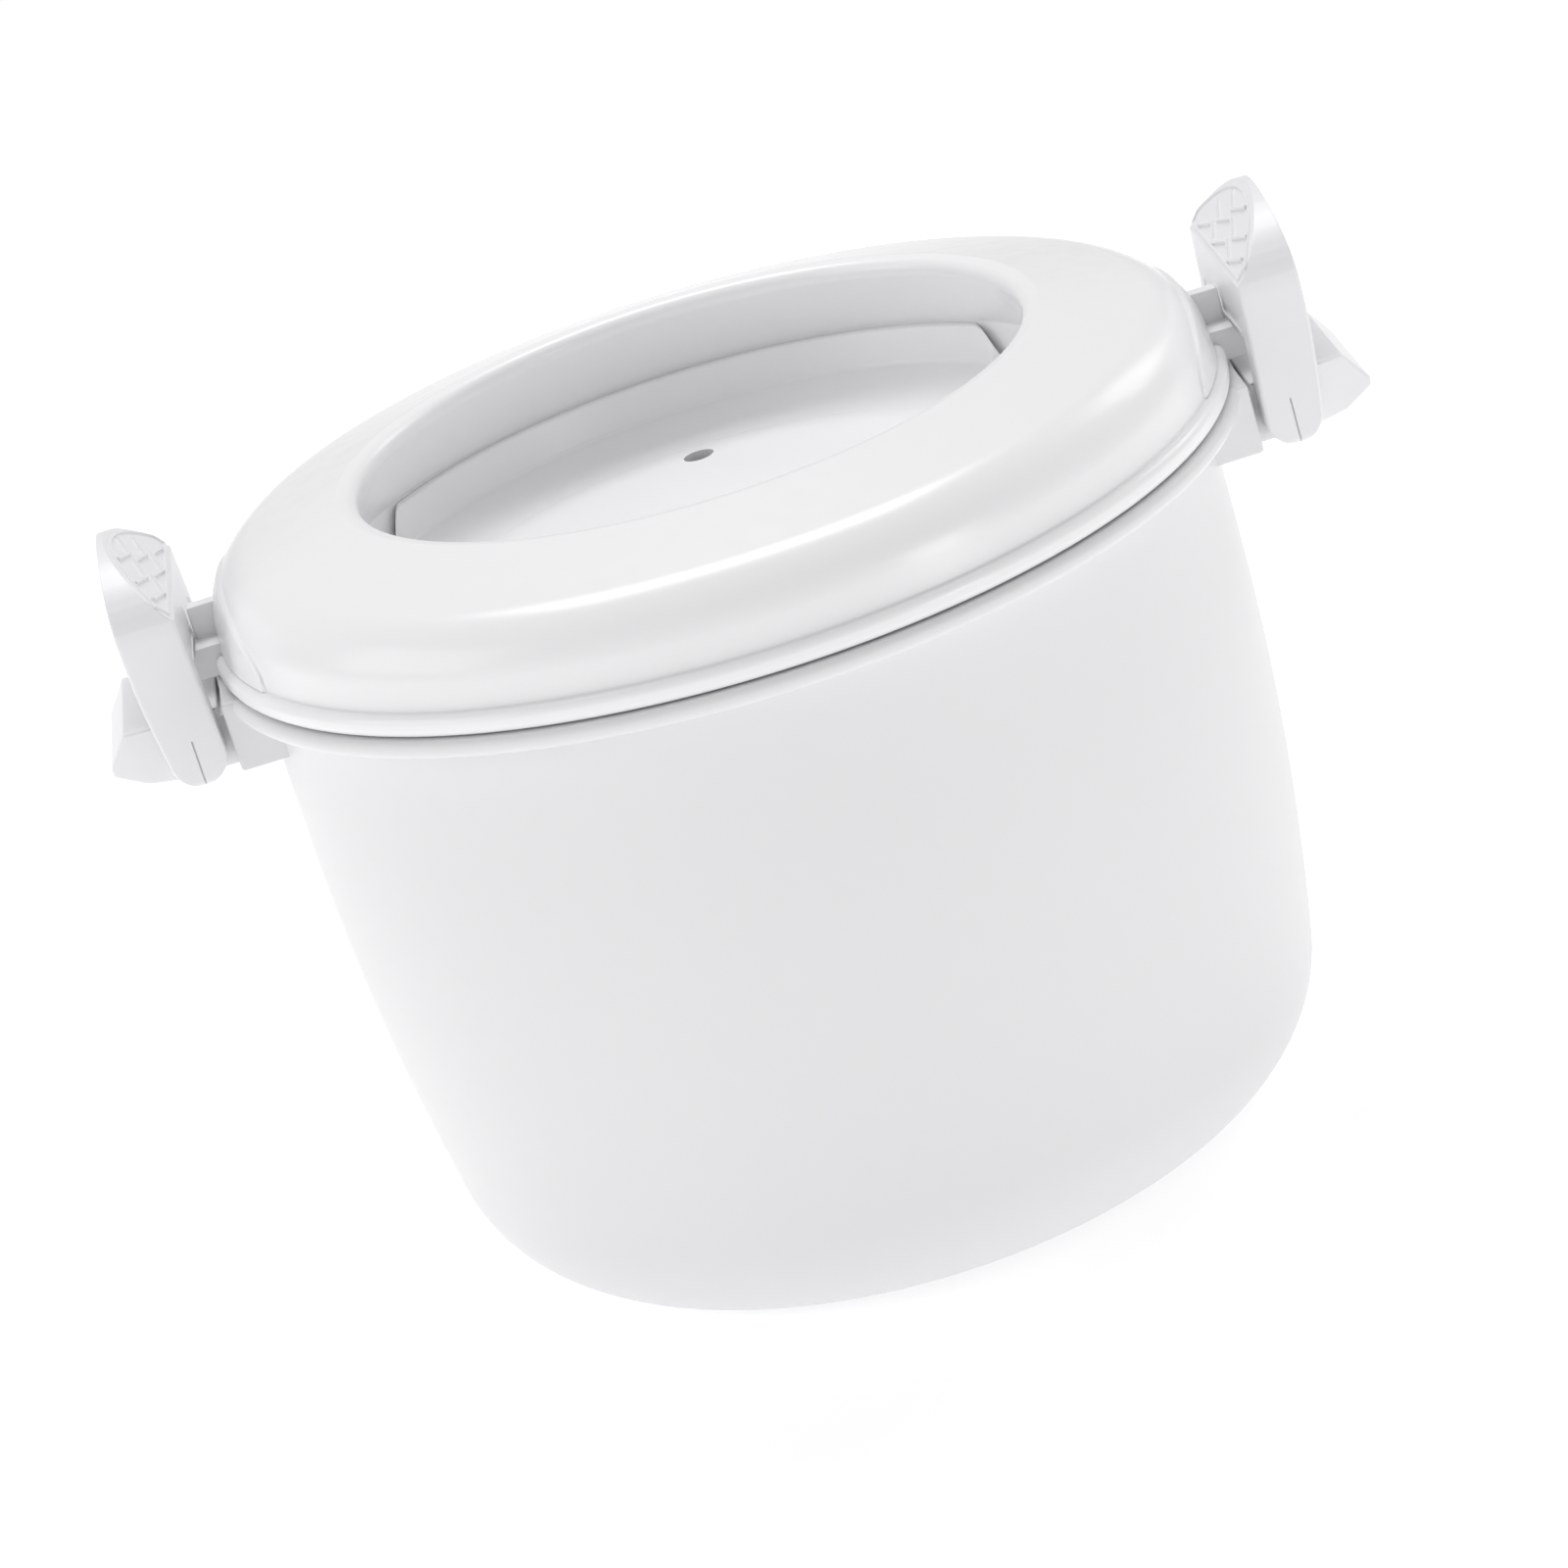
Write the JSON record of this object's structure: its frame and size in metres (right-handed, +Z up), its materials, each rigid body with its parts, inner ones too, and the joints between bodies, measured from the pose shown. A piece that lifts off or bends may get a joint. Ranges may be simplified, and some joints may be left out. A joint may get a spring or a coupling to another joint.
{
  "type": "yogurt maker",
  "caption": "Round lidded pot for making yogurt in a microwave oven, with a vented inner lid, a domed outer lid and swing-up side latches over short wing handles.",
  "frame": {"origin": "centre of the flat base that the pot stands on", "axes": "+Z up, +X through the right handle, so the two handles and latches lie at -X and +X"},
  "size_m": [0.2162, 0.176, 0.1454],
  "materials": {
    "pot_plastic": "white polypropylene, fine matte moulded texture",
    "outer_lid_plastic": "white polypropylene, glossy",
    "inner_lid_plastic": "white polypropylene, satin gloss",
    "handle_plastic": "white polypropylene, satin",
    "latch_plastic": "white polypropylene, satin gloss",
    "pin_plastic": "white acetal, smooth"
  },
  "bodies": {
    "pot_body": {"pot": "pot_plastic", "handle_left": "handle_plastic", "handle_right": "handle_plastic", "hinge_pin_left": "pin_plastic", "hinge_pin_right": "pin_plastic"},
    "outer_lid_body": {"outer_lid": "outer_lid_plastic"},
    "inner_lid_body": {"inner_lid": "inner_lid_plastic"},
    "latch_left_body": {"latch_left": "latch_plastic"},
    "latch_right_body": {"latch_right": "latch_plastic"}
  },
  "joints": [
    {"name": "outer_lid_lift", "type": "slide", "parent": "pot_body", "child": "outer_lid_body", "axis": [0, 0, 1], "range_m": [0, 0.022]},
    {"name": "inner_lid_lift", "type": "slide", "parent": "pot_body", "child": "inner_lid_body", "axis": [0, 0, 1], "range_m": [0, 0.01]},
    {"name": "latch_right_swing", "type": "hinge", "parent": "pot_body", "child": "latch_right_body", "pos_m": [0.0936, 0, 0.1112], "axis": [0, 1, 0], "range_deg": [0, 65]},
    {"name": "latch_left_swing", "type": "hinge", "parent": "pot_body", "child": "latch_left_body", "pos_m": [-0.0936, 0, 0.1112], "axis": [0, -1, 0], "range_deg": [0, 65]}
  ],
  "couplings": [
    {"joint": "inner_lid_lift", "follows": "outer_lid_lift", "ratio": 0.45},
    {"joint": "latch_right_swing", "follows": "outer_lid_lift", "rad_per_m": 51.56},
    {"joint": "latch_left_swing", "follows": "outer_lid_lift", "rad_per_m": 51.56}
  ]
}
